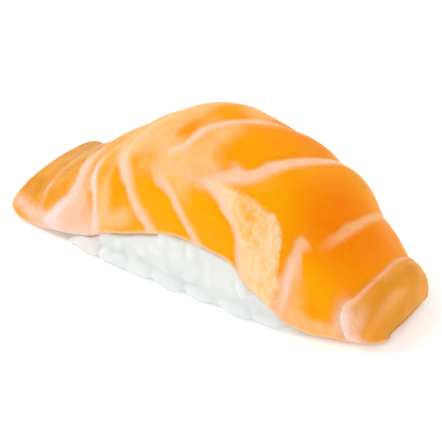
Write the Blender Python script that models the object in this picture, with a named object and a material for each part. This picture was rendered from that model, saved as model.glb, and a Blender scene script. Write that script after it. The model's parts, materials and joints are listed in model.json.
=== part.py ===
"""Salmon nigiri: a slice of raw salmon draped over a hand-pressed block of sushi rice.

Two solids, in metres, +Z up, +X along the piece, origin at the centre of the foot print:
  rice    the pressed block, flat underneath, with the uneven outline of its grains
  salmon  the slice, one closed solid that arches over the rice and meets the table at both ends

The slice is lofted. Its centre line runs along X over the top of the rice. At each
station a cross-section hangs from the centre line: a superelliptic outer face, an inner
face that is one slice thickness below it, and round rims that join them. The lines of
fat of the slice are named curves in its own flat coordinates (along, across), and the
flesh bulges between them.
"""

import math

import bmesh
import bpy
import numpy as np

MM = 0.001

# ---------------------------------------------------------------- named sizes, mm
LENGTH = 78.0            # overall, tip to tip
CREST = 29.5             # height of the slice's crown above the table
SLICE_THICK = 4.6        # thickness of the slice along its centre line
SIDE_THICK = 2.6         # and where it hangs down the sides
RIM = SIDE_THICK / 2     # radius of the round side rims
GAP = 0.35               # air between rice and slice
LEAN = 0.22              # share of the centre line's slope by which the sections lean
END_ROUND = 2.3          # radius of the slice's rounded ends
END_BOW = 1.3            # how far the right end's outline bows out
TAIL_BOW = -0.15         # and the tail's, as a share of that: its edge is cut nearly straight
BULGE = 0.55             # how far the flesh swells between two lines of fat
FLAP_STEP = 0.75         # height of the step where the last flake begins
GRAIN_LONG, GRAIN_WIDE = 6.2, 3.1   # a cooked short grain
GRAIN_RELIEF = 0.75      # how far grains stand out of the block
STRAY = 2.8              # how far one stray grain stands out at the near left corner
RICE_START, RICE_END = -26.0, 28.5  # the block's ends along the centre line's X
CENTRE_X, CENTRE_Y = 0.58, 0.385      # puts the origin in the middle of the foot print

# centre line of the outer face: (x, z)
CENTRE_LINE = [(-LENGTH / 2, 5.4), (-33.5, 8.1), (-27.0, 12.3), (-20.0, 18.0), (-10.0, 25.8), (-1.0, CREST - 0.1),
               (6.0, CREST), (15.0, 27.5), (24.0, 23.3), (30.5, 17.4), (35.0, 11.0), (LENGTH / 2, 5.2)]
# section sizes by the x of the centre line
NEAR_HALF = [(-39, 12.2), (-36, 13.2), (-30, 13.6), (-22, 13.4), (-8, 13.7), (4, 14.2), (14, 14.2), (24, 12.8), (30, 11.2), (35, 8.7), (37, 7.0), (38.2, 5.2), (39, 3.6)]
FAR_HALF = [(-39, 9.8), (-36.5, 11.8), (-33, 11.4), (-29, 11.6), (-22, 13.0), (-8, 13.9), (4, 13.9), (12, 14.5), (20, 15.0), (26, 14.6), (32, 13.8), (37, 12.3), (39, 11.0)]
NEAR_EDGE = [(-39, 2.2), (-36, 1.6), (-30, 1.7), (-23, 2.8), (-16, 6.4), (-8, 10.4), (3, 13.4), (13.3, 12.9), (18.8, 8.1), (23.4, 4.6), (27.5, 2.0), (32, 1.5), (39, 1.7)]
FAR_EDGE = [(-39, 3.0), (-36.5, 3.4), (-33, 2.7), (-29, 2.4), (-22, 4.0), (-8, 8.6), (3, 10.8), (12, 10.0), (20, 6.2), (28, 2.2), (35, 1.8), (39, 1.9)]
THICKNESS = [(-39, SLICE_THICK + 0.2), (-25, SLICE_THICK), (22, SLICE_THICK), (39, SLICE_THICK + 0.9)]
SQUARENESS = [(-39, 2.3), (-20, 2.3), (0, 2.35), (20, 2.5), (30, 2.5), (39, 2.3)]

# lines of fat, from the thin end to the blunt one: (across, along) in the flat slice, mm, the
# near side negative
FAT_LINES = [
    [(-20, 3), (-14, 5), (-12.4, 7), (-9, 7.4), (-3, 7.4), (6, 7.5), (20, 6)],
    [(-24, 6), (-17, 8.8), (-14.4, 10.5), (-13.3, 13), (-12, 15.3), (-10.5, 15.6), (-9, 15.2), (-6.6, 14.2), (-2.5, 13.4), (6, 15), (24, 18)],
    [(-25, 24.6), (-18, 23.8), (-15.3, 23.3), (-12, 22.1), (-10, 21.1), (-8.5, 21), (-6.6, 21.4), (0, 25.5), (8, 29), (25, 34)],
    [(-30, 44), (-26, 40.5), (-24, 39.1), (-21.2, 36.8), (-18.5, 34.8), (-15.3, 32.8), (-13, 30.8), (-10.5, 29.2), (-8, 28.4), (-5, 29), (-1, 31.5), (8, 37), (25, 43)],
    [(-30, 57), (-25.5, 52.5), (-22.4, 49.4), (-20, 47), (-17.7, 44.7), (-15.3, 42.7), (-12.8, 40.9), (-10.6, 40.5), (-8.8, 43.5), (-7.2, 45), (-5, 45.9), (-3, 47), (-0.5, 49), (2, 51.5), (4.4, 54), (8, 57), (20, 62), (30, 64)],
    [(-30, 66), (-24, 62.9), (-20.5, 62.3), (-18.9, 60.9), (-17.6, 59.4), (-17.1, 57.6), (-15.6, 56.6), (-14.2, 53.8), (-12.9, 52.6), (-11.2, 54.5), (-9.8, 56.3), (-8.2, 58.4), (-5.8, 60), (-3, 61.2), (0.5, 63), (2.9, 64.4), (5, 64.9), (10, 66), (22, 68), (30, 69)],
    [(-30, 70.5), (-26, 71.2), (-24.5, 71.6), (-21, 72.3), (-17.7, 71.9), (-15.3, 72.3), (-13.6, 72.8), (-11.6, 72.5), (-10.2, 73.6), (-9.3, 75), (-7.5, 76.4), (-4.2, 77.5), (-1.9, 78.1), (0.5, 78.4), (4, 78.2), (8, 78), (30, 78)],
    [(-22, 95.5), (-17.5, 92), (-14.6, 89.5), (-13.4, 87.8), (-12, 86.5), (-10.6, 86.1), (-9, 86.5), (-7, 87.4), (-3, 88), (0, 87.9), (8.2, 87.7), (22, 88)],
]


# ---------------------------------------------------------------- curves
def through(points, steps):
    """Catmull-Rom curve through the points."""
    p = np.array(points, float)
    p = np.vstack([2 * p[0] - p[1], p, 2 * p[-1] - p[-2]])
    out = []
    for a, b, c, d in zip(p, p[1:], p[2:], p[3:]):
        for k in range(steps):
            t = k / steps
            out.append(0.5 * (2 * b + (c - a) * t + (2 * a - 5 * b + 4 * c - d) * t * t + (3 * b - a - 3 * c + d) * t ** 3))
    out.append(p[-2])
    return np.array(out)


def graded(x, table):
    """Smooth value at x from a table of (x, value), with no overshoot between its rows."""
    at = np.array([row[0] for row in table], float)
    val = np.array([row[1] for row in table], float)
    h = np.diff(at)
    slope = np.diff(val) / h
    m = np.concatenate([slope[:1], np.zeros(len(slope) - 1), slope[-1:]])
    for i in range(1, len(slope)):
        if slope[i - 1] * slope[i] > 0:
            wa, wb = 2 * h[i] + h[i - 1], h[i] + 2 * h[i - 1]
            m[i] = (wa + wb) / (wa / slope[i - 1] + wb / slope[i])
    x = np.clip(np.asarray(x, float), at[0], at[-1])
    i = np.clip(np.searchsorted(at, x, side="right") - 1, 0, len(h) - 1)
    t = (x - at[i]) / h[i]
    return (val[i] * (2 * t ** 3 - 3 * t ** 2 + 1) + h[i] * m[i] * (t ** 3 - 2 * t ** 2 + t)
            + val[i + 1] * (3 * t ** 2 - 2 * t ** 3) + h[i] * m[i + 1] * (t ** 3 - t ** 2))


def smooth(a, b, x):
    t = np.clip((np.asarray(x, float) - a) / (b - a), 0, 1)
    return t * t * (3 - 2 * t)


class CentreLine:
    """The slice's centre line by its own length."""

    def __init__(self):
        c = through(CENTRE_LINE, 40)
        self.at = np.concatenate([[0], np.cumsum(np.hypot(*np.diff(c, axis=0).T))])
        self.c = c
        self.length = self.at[-1]
        self.angle = np.unwrap(np.arctan2(*np.gradient(c, axis=0).T[::-1]))

    def __call__(self, s):
        x = np.interp(s, self.at, self.c[:, 0])
        z = np.interp(s, self.at, self.c[:, 1])
        return x, z, np.interp(s, self.at, self.angle)


def quarter(power, count):
    """Superelliptic quarter from the crown to the side: (share of half width, share of drop)."""
    a = np.linspace(0, math.pi / 2, count)
    return np.sin(a) ** (2 / power), 1 - np.cos(a) ** (2 / power)


def half_section(half, drop, power, marks):
    """Points of one side at these shares of its arc length, and that length."""
    f, g = quarter(power, 160)
    y, d = half * f, drop * g
    run = np.concatenate([[0], np.cumsum(np.hypot(np.diff(y), np.diff(d)))])
    q = np.asarray(marks) * run[-1]
    return np.interp(q, run, y), np.interp(q, run, d), run[-1]


# ---------------------------------------------------------------- the flesh's relief
def relief(s, w):
    """Height of the outer face over its smooth form, at (along, across)."""
    lines = [graded(w, table) for table in FAT_LINES]
    lines = [lines[0] * 0 - 6.0] + lines + [lines[-1] * 0 + 104.0]
    out = np.zeros(np.shape(s))
    for a, b in zip(lines, lines[1:]):
        u = (s - a) / (b - a)
        inside = (u >= 0) & (u < 1)
        swell = BULGE * np.sin(math.pi * np.clip(u, 0, 1)) ** 1.4 * np.clip((b - a) / 9.0, 0.35, 1.25)
        out = np.where(inside, swell, out)
    out = out - 0.5 * BULGE
    out = out + FLAP_STEP * smooth(-0.3, 0.9, s - lines[-2]) * (0.55 + 0.45 * smooth(4, -8, w))
    return out + 0.12 * np.sin(0.31 * s + 0.5) * np.sin(0.27 * w + 1.1)


# ---------------------------------------------------------------- the slice
def slice_rings(stations, outer, inner, rim):
    """Closed rings of the slice, one for each station: the outer face from the near side to
    the far side, the far rim, the inner face back, and the near rim."""
    line = CentreLine()
    ends = END_ROUND * (1 - np.cos(np.linspace(0, math.pi / 2, 5)))
    s = np.concatenate([ends[:-1], np.linspace(END_ROUND, line.length - END_ROUND, stations), line.length - ends[-2::-1]])
    x, z, slope = line(s)
    marks = np.linspace(0, 1, outer)
    inner_marks = np.linspace(0, 1, inner)
    rings = []
    for i in range(len(s)):
        lean = LEAN * slope[i]
        down = np.array([math.sin(lean), -math.cos(lean)])
        left = min(s[i], line.length - s[i])
        full = math.sqrt(max(1 - (1 - min(left / END_ROUND, 1)) ** 2, 0.0025))
        power = float(graded(x[i], SQUARENESS))
        middle = float(graded(x[i], THICKNESS))
        inset = middle / 2 * (1 - full)
        sides = {}
        for name, half, edge in (("near", NEAR_HALF, NEAR_EDGE), ("far", FAR_HALF, FAR_EDGE)):
            b = float(graded(x[i], half)) - 0.8 * (1 - full)
            drop = max(z[i] - float(graded(x[i], edge)), 0.4)
            y, d, run = half_section(b, drop, power, marks)
            thick = middle * full
            side = min(SIDE_THICK, 0.9 * thick)
            yi, _, _ = half_section(b - side, drop, power, inner_marks)
            share = np.interp(yi, (b - side) * quarter(power, 160)[0], quarter(power, 160)[1])
            # a flat tongue keeps its full thickness nearly to the rim
            if drop < 2 * middle:
                share = share ** (1 + 1.5 * (1 - drop / (2 * middle)))
            di = inset + thick + (drop - inset - thick) * share
            sides[name] = (y, inset + (drop - inset) * d / drop, run, yi, di, b, drop, side)
        points = []
        for name, sign in (("near", -1), ("far", 1)):
            y, d, run, *_ = sides[name]
            w = sign * marks * run
            # outward normal of the section curve
            ny, nd = -np.gradient(d), np.gradient(y)
            long = np.hypot(ny, nd) + 1e-9
            lift = relief(np.full(outer, s[i]), w) * (1 - 0.8 * marks ** 6) * full
            y2 = y - lift * ny / long
            d2 = d - lift * nd / long
            row = [(sign * a, b) for a, b in zip(y2, d2)]
            points += row[::-1] if sign < 0 else row[1:]
        for name, sign in (("far", 1), ("near", -1)):
            _, _, _, yi, di, b, drop, side = sides[name]
            r = side / 2
            turn = [(sign * (b - r + r * math.cos(a)), drop + r * math.sin(a)) for a in np.linspace(0, math.pi, rim + 2)[1:-1]]
            inside = [(sign * a, q) for a, q in zip(yi, di)]
            if name == "far":
                points += turn + inside[::-1]
            else:
                points += inside[1:] + turn[::-1]
        bow = END_BOW * (smooth(line.length - 9, line.length, s[i]) - TAIL_BOW * smooth(8, 0, s[i]))
        rings.append([(x[i] + q * down[0] + bow * (1 - ((a + 1.5) / 11.5) ** 2), a, z[i] + q * down[1]) for a, q in points])
    rings = np.array(rings)
    rings[..., 2] = np.maximum(rings[..., 2], 0.15)
    return rings, outer, inner, rim


def mesh_from_rings(name, rings, caps):
    """One closed mesh from rings of equal count. caps pairs up the points of an end ring."""
    n, m = rings.shape[:2]
    bm = bmesh.new()
    verts = [[bm.verts.new(((p[0] - CENTRE_X) * MM, (p[1] - CENTRE_Y) * MM, p[2] * MM)) for p in ring] for ring in rings]
    for a, b in zip(verts, verts[1:]):
        for j in range(m):
            k = (j + 1) % m
            bm.faces.new((a[j], b[j], b[k], a[k]))
    for row, flip in ((verts[0], False), (verts[-1], True)):
        for loop in caps:
            face = [row[j % m] for j in loop]
            bm.faces.new(face[::-1] if flip else face)
    bmesh.ops.recalc_face_normals(bm, faces=bm.faces)
    mesh = bpy.data.meshes.new(name)
    bm.to_mesh(mesh)
    bm.free()
    mesh.shade_smooth()
    return mesh


def strip_caps(m, outer, inner, rim):
    """Faces that close a slice's end: between the outer face and the inner face across it."""
    across = 2 * outer - 1
    back = m - across - 2 * rim
    top = list(range(across))
    low = list(range(across + rim, across + rim + back))[::-1]
    caps = [[m - k - 1 for k in range(rim)][::-1] + [top[0], low[0]] if rim else []]
    faces, i, j = [], 0, 0
    while i < len(top) - 1 or j < len(low) - 1:
        if j == len(low) - 1 or (i < len(top) - 1 and (i + 1) / (len(top) - 1) <= (j + 1) / (len(low) - 1)):
            faces.append([top[i], top[i + 1], low[j]])
            i += 1
        else:
            faces.append([top[i], low[j + 1], low[j]])
            j += 1
    near = [low[0]] + list(range(m - rim, m)) + [top[0]]
    far = [top[-1]] + list(range(across, across + rim)) + [low[-1]]
    return [near] * bool(rim) + faces + [far] * bool(rim)


# ---------------------------------------------------------------- the rice
def grain_relief(x, height, seed):
    """Uneven outline of the block's side: overlapping long pillows, each a grain lying in the face."""
    rng = np.random.default_rng(seed)
    out = np.full(np.shape(x), -0.35 * GRAIN_RELIEF)
    rows = 5
    for row in range(rows):
        at = RICE_START - 3 + rng.uniform(0, 3)
        while at < RICE_END + 4:
            turn = rng.uniform(-0.9, 0.9)
            cx, cz = at, (row + 0.35 + rng.uniform(-0.25, 0.25)) * GRAIN_WIDE * 0.95
            big = rng.uniform(0.75, 1.0)
            u = ((x - cx) * math.cos(turn) + (height - cz) * math.sin(turn)) / (GRAIN_LONG / 2)
            v = (-(x - cx) * math.sin(turn) + (height - cz) * math.cos(turn)) / (GRAIN_WIDE / 2 * 1.1)
            dome = 1 - u * u - v * v
            out = np.maximum(out, np.where(dome > 0, GRAIN_RELIEF * big * np.sqrt(np.clip(dome, 0, 1)) - 0.3 * GRAIN_RELIEF, -1))
            at += GRAIN_LONG * rng.uniform(0.55, 0.85)
    return out


def rice_rings(stations, top, side):
    """Closed rings of the rice block, on the slice's own stations."""
    line = CentreLine()
    s0 = np.interp(RICE_START, line.c[:, 0], line.at)
    s1 = np.interp(RICE_END, line.c[:, 0], line.at)
    ease = 0.5 - 0.5 * np.cos(np.linspace(0, math.pi, stations))
    flat = np.linspace(0, 1, stations)
    s = s0 + (s1 - s0) * (0.35 * ease + 0.65 * flat)
    x, z, slope = line(s)
    rings = []
    for i in range(stations):
        lean = LEAN * slope[i]
        down = np.array([math.sin(lean), -math.cos(lean)])
        t = (s[i] - s0) / (s1 - s0)
        end = min(t, 1 - t) * (s1 - s0)
        full = math.sqrt(max(1 - (1 - min(end / 5.5, 1)) ** 2, 0.09))
        floor = z[i] / math.cos(lean)
        power = float(graded(x[i], SQUARENESS))
        crown = float(graded(x[i], THICKNESS)) + GAP + 3.2 * (1 - full)
        ring = []
        for sign, half, edge in ((-1, NEAR_HALF, NEAR_EDGE), (1, FAR_HALF, FAR_EDGE)):
            b = float(graded(x[i], half))
            drop = z[i] - float(graded(x[i], edge))
            under = drop + RIM + GAP              # the slice's rim ends here
            inside = (b - SIDE_THICK - GAP) * (0.55 + 0.45 * full)
            y, d, _ = half_section(inside, drop - 1.5, power, np.linspace(0, 1, top))
            d = crown + (drop - 0.2 - crown) * d / max(drop - 1.5, 1e-6)
            room = floor - under
            out_to = inside + smooth(0.3, 2.5, room) * (SIDE_THICK + GAP - 0.45)
            rows = np.linspace(0, 1, side)
            q = under + 0.15 + (floor - under - 0.15) * rows
            tuck = 0.5 * rows ** 3 + (0.9 * smooth(-5, 4, x[i]) - 0.4) * rows ** 0.5 * (sign < 0)
            belly = inside + (out_to - inside) * smooth(0.0, 0.18, rows) - tuck * smooth(0.5, 3.0, room)
            xs, hs = x[i] + q * down[0], z[i] + q * down[1]
            bumps = grain_relief(np.asarray(xs), np.asarray(hs), 11 if sign < 0 else 12)
            if sign < 0:                          # a stray grain at the near corner, and the gap beside it
                bumps = bumps + STRAY * (np.exp(-((xs + 21.2) / 1.6) ** 2) - 0.6 * np.exp(-((xs + 17.4) / 0.8) ** 2)) * smooth(4.0, 1.6, hs)
            belly = belly + bumps * smooth(0.5, 2.5, room) * smooth(-0.02, 0.2, rows) * full
            if room < 0.5:                        # the slice comes down to the table here
                q = np.linspace(d[-1] + 0.3, max(floor, d[-1] + 0.6), side)
                belly = np.full(side, inside)
            yy = np.concatenate([y, belly])
            dd = np.concatenate([d, q])
            dd[-1] = floor
            pts = [(x[i] + b2 * down[0], sign * a, max(z[i] + b2 * down[1], 0.0)) for a, b2 in zip(yy, dd)]
            pts[-1] = (x[i] + floor * down[0], pts[-1][1], 0.0)
            ring += pts[::-1] if sign < 0 else pts[1:]
        rings.append(ring)
    return np.array(rings)


def material(name, colour, roughness):
    m = bpy.data.materials.new(name)
    m.use_nodes = True
    p = m.node_tree.nodes["Principled BSDF"]
    p.inputs["Base Color"].default_value = (*colour, 1)
    p.inputs["Roughness"].default_value = roughness
    p.inputs["Metallic"].default_value = 0.0
    return m


def add(name, mesh, mat):
    mesh.materials.append(mat)
    obj = bpy.data.objects.new(name, mesh)
    bpy.context.scene.collection.objects.link(obj)
    return obj


def main():
    for obj in list(bpy.data.objects):
        bpy.data.objects.remove(obj, do_unlink=True)
    rings, outer, inner, rim = slice_rings(50, 14, 7, 2)
    salmon = mesh_from_rings("salmon", rings, strip_caps(rings.shape[1], outer, inner, rim))
    add("salmon", salmon, material("salmon", (0.93, 0.32, 0.03), 0.28))
    block = rice_rings(44, 6, 10)
    m = block.shape[1]
    rice = mesh_from_rings("rice", block, [list(range(m))])
    add("rice", rice, material("rice", (0.88, 0.88, 0.84), 0.45))


main()
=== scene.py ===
"""Looks of the salmon nigiri: the draped slice with its flakes and lines of fat, and the rice
as single cooked grains pressed over a smaller core. Works in mm and writes metres."""
import json
import math

import bpy
import numpy as np
from mathutils import Matrix, Vector
from mathutils.kdtree import KDTree

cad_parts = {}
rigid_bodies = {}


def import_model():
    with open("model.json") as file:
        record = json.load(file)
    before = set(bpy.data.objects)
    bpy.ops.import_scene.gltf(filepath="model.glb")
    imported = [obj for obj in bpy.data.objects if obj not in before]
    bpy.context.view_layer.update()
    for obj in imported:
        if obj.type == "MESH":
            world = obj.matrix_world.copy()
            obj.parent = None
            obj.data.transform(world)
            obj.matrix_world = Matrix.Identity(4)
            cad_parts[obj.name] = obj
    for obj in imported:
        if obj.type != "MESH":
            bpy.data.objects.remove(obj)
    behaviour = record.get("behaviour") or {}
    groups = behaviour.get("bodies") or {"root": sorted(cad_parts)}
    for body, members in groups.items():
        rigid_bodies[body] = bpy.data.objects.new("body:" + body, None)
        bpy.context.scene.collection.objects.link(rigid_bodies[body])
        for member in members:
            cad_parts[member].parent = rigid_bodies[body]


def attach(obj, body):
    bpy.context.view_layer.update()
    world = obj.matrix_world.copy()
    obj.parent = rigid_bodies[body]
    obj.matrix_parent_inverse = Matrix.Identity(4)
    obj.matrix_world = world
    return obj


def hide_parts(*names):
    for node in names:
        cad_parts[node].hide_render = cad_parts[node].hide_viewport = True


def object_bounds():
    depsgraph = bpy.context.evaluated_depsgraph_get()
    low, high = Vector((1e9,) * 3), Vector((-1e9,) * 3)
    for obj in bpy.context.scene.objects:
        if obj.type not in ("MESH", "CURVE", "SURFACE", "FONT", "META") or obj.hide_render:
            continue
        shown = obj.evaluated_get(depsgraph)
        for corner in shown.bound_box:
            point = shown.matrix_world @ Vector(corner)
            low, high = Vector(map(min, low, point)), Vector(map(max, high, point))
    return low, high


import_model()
CAD_LO, CAD_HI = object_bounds()
MM = 0.001

# ================================================================ named sizes, mm
LENGTH = 78.0
CREST = 29.5
SLICE_THICK = 4.6
SIDE_THICK = 2.6
RIM = SIDE_THICK / 2
GAP = 0.35
LEAN = 0.22
END_ROUND = 2.3
END_BOW = 1.3
TAIL_BOW = -0.15
BULGE = 0.62             # how far the flesh swells between two lines of fat
GROOVE = 0.22            # how deep a line of fat lies
FLAP_STEP = 1.0          # height of the step where the last flake folds over
RICE_START, RICE_END = -26.0, 28.5
CENTRE_X, CENTRE_Y = 0.58, 0.385
GRAIN_LONG, GRAIN_WIDE, GRAIN_HIGH = 6.0, 3.0, 2.6

CENTRE_LINE = [(-LENGTH / 2, 5.4), (-33.5, 8.1), (-27.0, 12.3), (-20.0, 18.0), (-10.0, 25.8), (-1.0, CREST - 0.1),
               (6.0, CREST), (15.0, 27.5), (24.0, 23.3), (30.5, 17.4), (35.0, 11.0), (LENGTH / 2, 5.2)]
NEAR_HALF = [(-39, 12.2), (-36, 13.2), (-30, 13.6), (-22, 13.4), (-8, 13.7), (4, 14.2), (14, 14.2), (24, 12.8), (30, 11.2), (35, 8.9), (37, 7.6), (38.2, 6.3), (39, 4.9)]
FAR_HALF = [(-39, 9.8), (-36.5, 11.8), (-33, 11.4), (-29, 11.6), (-22, 13.0), (-8, 13.9), (4, 13.9), (12, 14.5), (20, 15.0), (26, 14.6), (32, 13.8), (37, 12.3), (39, 11.0)]
NEAR_EDGE = [(-39, 2.2), (-36, 1.6), (-30, 1.7), (-23, 2.8), (-16, 6.4), (-8, 10.4), (3, 13.4), (13.3, 12.9), (18.8, 8.1), (23.4, 4.6), (27.5, 2.0), (32, 1.5), (39, 1.7)]
FAR_EDGE = [(-39, 3.0), (-36.5, 3.4), (-33, 2.7), (-29, 2.4), (-22, 4.0), (-8, 8.6), (3, 10.8), (12, 10.0), (20, 6.2), (28, 2.2), (35, 1.8), (39, 1.9)]
# how much higher the slice's near rim hangs than the smooth edge, over the rice
EDGE_LIFT = [(-39, 0.0), (-33, 0.15), (-27, 0.8), (-18, 0.95), (-12, 0.25), (-8, 0.0), (17, 0.0), (21.5, 0.65), (27.5, 0.65), (31.5, 0.0), (39, 0.0)]
THICKNESS = [(-39, SLICE_THICK + 0.2), (-25, SLICE_THICK), (22, SLICE_THICK), (39, SLICE_THICK + 0.9)]
SQUARENESS = [(-39, 2.3), (-20, 2.3), (0, 2.35), (20, 2.5), (30, 2.5), (39, 2.3)]

# Where the flesh folds between its flakes, in the flat slice: (across, along), mm, the near
# side negative.
FOLDS = {
    "z": [(-20, 3.0), (-14.0, 5.0), (-12.4, 7.0), (-9, 7.4), (-3, 7.4), (6, 7.5), (20, 6)],
    "a": [(-24, 6.0), (-17, 8.8), (-14.4, 10.5), (-13.3, 13.0), (-12, 15.3), (-10.5, 15.6), (-9, 15.2), (-6.6, 14.2), (-2.5, 13.4), (6, 15.0), (24, 18)],
    "b": [(-25, 24.6), (-18, 23.8), (-15.3, 23.3), (-12, 22.1), (-10, 21.1), (-8.5, 21.0), (-6.6, 21.4), (0, 25.5), (8, 29), (25, 34)],
    "c": [(-30, 44.0), (-26, 40.5), (-24, 39.1), (-21.2, 36.8), (-18.5, 34.8), (-15.3, 32.8), (-13, 30.8), (-10.5, 29.2), (-8, 28.4), (-5, 29.0), (-1, 31.5), (8, 37.0), (25, 43)],
    "d": [(-30, 57.0), (-25.5, 52.5), (-22.4, 49.4), (-20, 47.0), (-17.7, 44.7), (-15.3, 42.7), (-12.8, 40.9), (-10.6, 40.5), (-8.8, 43.5), (-7.2, 45.0), (-5, 45.9), (-3, 47.0), (-0.5, 49.0), (2, 51.5), (4.4, 54.0), (8, 57), (20, 62), (30, 64)],
    "e": [(-30, 66.0), (-24, 62.9), (-20.5, 62.3), (-18.9, 60.9), (-17.6, 59.4), (-17.1, 57.6), (-15.6, 56.6), (-14.2, 53.8), (-12.9, 52.6), (-11.2, 54.5), (-9.8, 56.3), (-8.2, 58.4), (-5.8, 60.0), (-3, 61.2), (0.5, 63.0), (2.9, 64.4), (5, 64.9), (10, 66), (22, 68), (30, 69)],
    "f": [(-30, 70.5), (-26, 71.2), (-24.5, 71.6), (-21, 72.3), (-17.7, 71.9), (-15.3, 72.3), (-13.6, 72.8), (-11.6, 72.5), (-10.2, 73.6), (-9.3, 75.0), (-7.5, 76.4), (-4.2, 77.5), (-1.9, 78.1), (0.5, 78.4), (4, 78.2), (8, 78), (30, 78)],
    "g": [(-22, 95.5), (-17.5, 92.0), (-14.6, 89.5), (-13.4, 87.8), (-12.0, 86.5), (-10.6, 86.1), (-9, 86.5), (-7, 87.4), (-3, 88.0), (0, 87.9), (8.2, 87.7), (22, 88)],
}
ORDER = "zabcdefg"
# Strokes of fat: how whitish each is and what share of its width it keeps at full strength,
# then its crisp edge as (along, across, width of its soft side, strength).
FAT = {
    "a": (0.75, 0.25, [(8.4, -16.2, 1.5, 0.0), (10.4, -15.4, 2.5, 0.5), (12.7, -14.2, 5, 0.7), (14.6, -12.7, 6, 0.8), (15.4, -10.8, 5, 0.8), (15.4, -8.8, 4.5, 0.75), (14.2, -6.2, 4, 0.6), (13.1, -3.5, 3.5, 0.4), (11.9, -1.5, 3, 0.2), (11.0, 0.5, 2.5, 0.0)]),
    "b": (1.0, 0.4, [(22.6, -23.0, 2.0, 0.5), (22.8, -20.8, 2.2, 0.8), (23.0, -17, 2.4, 0.85), (22.6, -14.6, 2.5, 0.95), (21.5, -12.3, 2.5, 1.0), (20.6, -10, 2.3, 1.0), (20.4, -8.2, 2.0, 0.9), (20.5, -6.6, 1.6, 0.5), (20.9, -5, 1.5, 0.0)]),
    "c": (0.72, 0.3, [(41.5, -28.5, 3.6, 0.8), (39.5, -25.8, 3.6, 0.85), (38.1, -23.8, 3.7, 0.9), (35.8, -20.8, 3.5, 0.95), (34.2, -18.1, 3.3, 0.95), (32.7, -15.8, 3.9, 0.95), (31.1, -13.5, 4.2, 0.95), (29.5, -11.5, 4.3, 0.95), (28.1, -9.2, 4.0, 0.9), (27.0, -6.9, 3.4, 0.6), (26.6, -4.5, 3, 0.0)]),
    "d": (0.66, 0.4, [(55.5, -28.5, 2.8, 0.8), (53, -26.5, 2.8, 0.85), (50.8, -24.2, 2.9, 0.9), (47.7, -21.2, 2.9, 0.95), (45, -18.5, 2.9, 0.9), (42.8, -16.7, 2.9, 0.85), (40.8, -15.2, 3.2, 0.7), (39.4, -13.4, 3.4, 0.4), (38.6, -11.6, 3.4, 0.15), (38.2, -10, 3, 0.0)]),
    "h": (0.72, 0.3, [(39.6, -9.3, 1.8, 0.0), (42.3, -8.9, 2.6, 0.6), (44.2, -8.0, 3.2, 0.9), (45.3, -5.6, 3.6, 0.95), (45.9, -3.8, 3.6, 0.95), (47.3, -1.9, 3.4, 0.95), (48.8, 0, 3.2, 0.9), (50.4, 1.9, 3.0, 0.85), (52.3, 4.2, 2.8, 0.8), (54.2, 6.2, 2.6, 0.7), (57.5, 10, 2.4, 0.6), (62, 20, 2.4, 0.5), (64, 28, 2.4, 0.4)]),
    "e": (0.62, 0.5, [(50.4, -14.6, 1.5, 0.0), (52.3, -12.6, 2.4, 0.7), (55, -9.9, 3.4, 0.9), (56.5, -8.9, 3.6, 0.95), (58.5, -8.0, 3.4, 0.95), (59.6, -6.5, 3.4, 0.95), (60.4, -4.2, 3.7, 0.95), (61.5, -1.9, 3.5, 0.95), (62.7, 0, 3.2, 0.95), (63.8, 1.9, 3.1, 0.95), (64.9, 4.2, 3.0, 0.9), (65.8, 6.2, 2.9, 0.85), (67.4, 11, 2.6, 0.7), (70, 22, 2.4, 0.5)]),
    "i": (0.66, 0.3, [(64, -27.5, 3.2, 0.6), (62.4, -24.5, 3.2, 0.75), (61.9, -22.7, 3.2, 0.8), (61.5, -20.4, 3.0, 0.85), (60, -18.1, 3.0, 0.85), (57.4, -16.6, 3.0, 0.9), (56.2, -15.5, 3.0, 0.9), (54.2, -14.6, 2.8, 0.9), (52.6, -14.2, 2.4, 0.7), (50.5, -13.6, 2.2, 0.0)]),
    "f": (0.38, 0.2, [(69.6, -28, 6.6, 0.85), (71.0, -25, 6.4, 0.9), (71.5, -22.4, 6.2, 0.9), (71.3, -20, 5.8, 0.95), (71.6, -17.7, 5.6, 0.95), (71.8, -15.7, 5.7, 0.95), (72.0, -13.3, 5.8, 0.95), (71.8, -11.8, 5.4, 0.95), (72.4, -10.5, 4.8, 0.95), (73.6, -9.9, 4.2, 0.85), (74.8, -9.9, 3.4, 0.5), (75.8, -10.5, 2.8, 0.0)]),
    "j": (0.12, 0.45, [(75.9, -9.2, 2.0, 0.0), (76.5, -7.2, 2.4, 0.25), (77.0, -5.2, 2.6, 0.6), (77.5, -3.2, 2.7, 0.85), (77.7, -0.8, 2.8, 0.95), (78.0, 2.3, 2.7, 0.95), (78.2, 6.2, 2.5, 0.9), (78.2, 10, 2.3, 0.8), (78, 22, 2, 0.5)]),
    "k": (0.5, 0.3, [(13.5, 0, 2.0, 0.0), (15.0, 5, 2.2, 0.45), (17.5, 14, 2.4, 0.6), (20, 26, 2.4, 0.6)]),
    "l": (0.5, 0.3, [(22.5, 0, 2.0, 0.0), (25.0, 6, 2.4, 0.5), (29.0, 14, 2.6, 0.65), (32.5, 26, 2.6, 0.6)]),
    "m": (0.5, 0.3, [(31.5, 1, 2.0, 0.0), (36.0, 7, 2.6, 0.5), (41.0, 14, 2.8, 0.65), (46, 26, 2.8, 0.6)]),
    "g": (0.42, 0.3, [(93.5, -19, 3.0, 0.6), (90.4, -15.6, 3.0, 0.8), (88.1, -13.8, 3.0, 0.9), (86.5, -12.7, 3.0, 0.95), (85.8, -11.2, 2.8, 0.95), (86.2, -9.2, 2.4, 0.95), (87.2, -7.3, 1.9, 0.95), (87.6, -5.4, 1.6, 0.95), (87.8, -3, 1.5, 0.9), (87.9, 0, 1.4, 0.9), (87.7, 5, 1.3, 0.85), (87.8, 20, 1.1, 0.6)]),
}


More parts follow.
